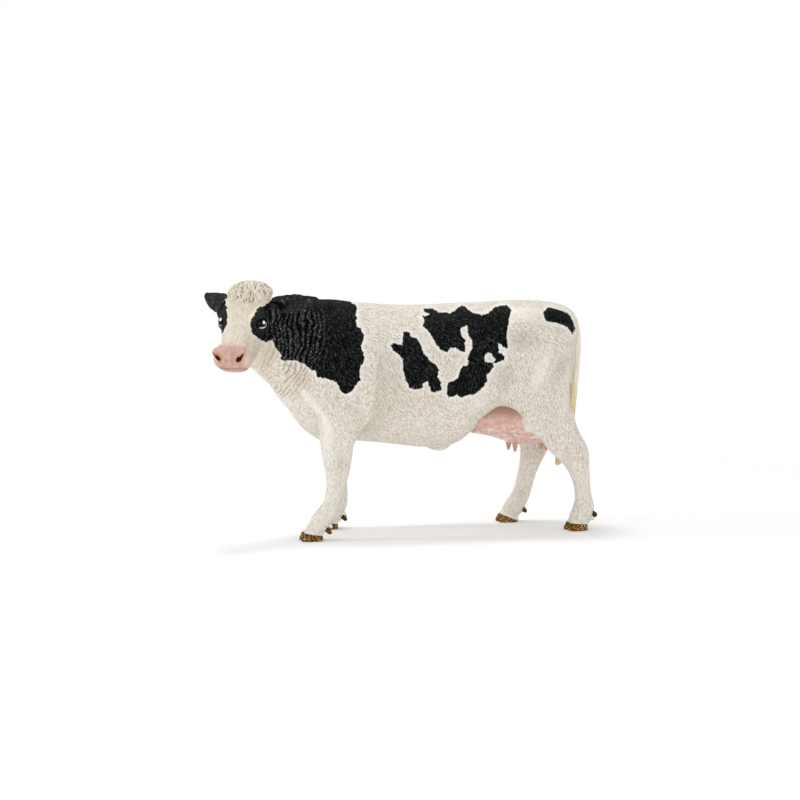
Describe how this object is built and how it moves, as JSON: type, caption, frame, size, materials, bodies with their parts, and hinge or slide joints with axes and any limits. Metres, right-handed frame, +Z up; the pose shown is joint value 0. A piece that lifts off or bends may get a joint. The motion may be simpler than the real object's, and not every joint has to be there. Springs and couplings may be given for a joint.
{
  "type": "toy farm animal figure",
  "caption": "Solid vinyl toy dairy cow with black patches, walking with its head turned to its left; it stands freely on its hooves.",
  "frame": {"origin": "middle of the figure's bounding box, at the ground under its hooves", "axes": "+Z up; the cow walks towards -Y, so +Y runs from its head to its tail; +X is its left side"},
  "size_m": [0.0404, 0.1242, 0.0795],
  "materials": {
    "coat_white": "satin",
    "coat_black": "satin",
    "skin_pink": "satin",
    "hair_cream": "satin"
  },
  "bodies": {
    "root": {"body": "coat_white", "head": "coat_white", "ear_left": "coat_black", "ear_right": "coat_black", "front_left_leg": "coat_white", "front_right_leg": "coat_white", "rear_left_leg": "coat_white", "rear_right_leg": "coat_white", "udder": "skin_pink", "tail": "hair_cream"}
  },
  "joints": []
}
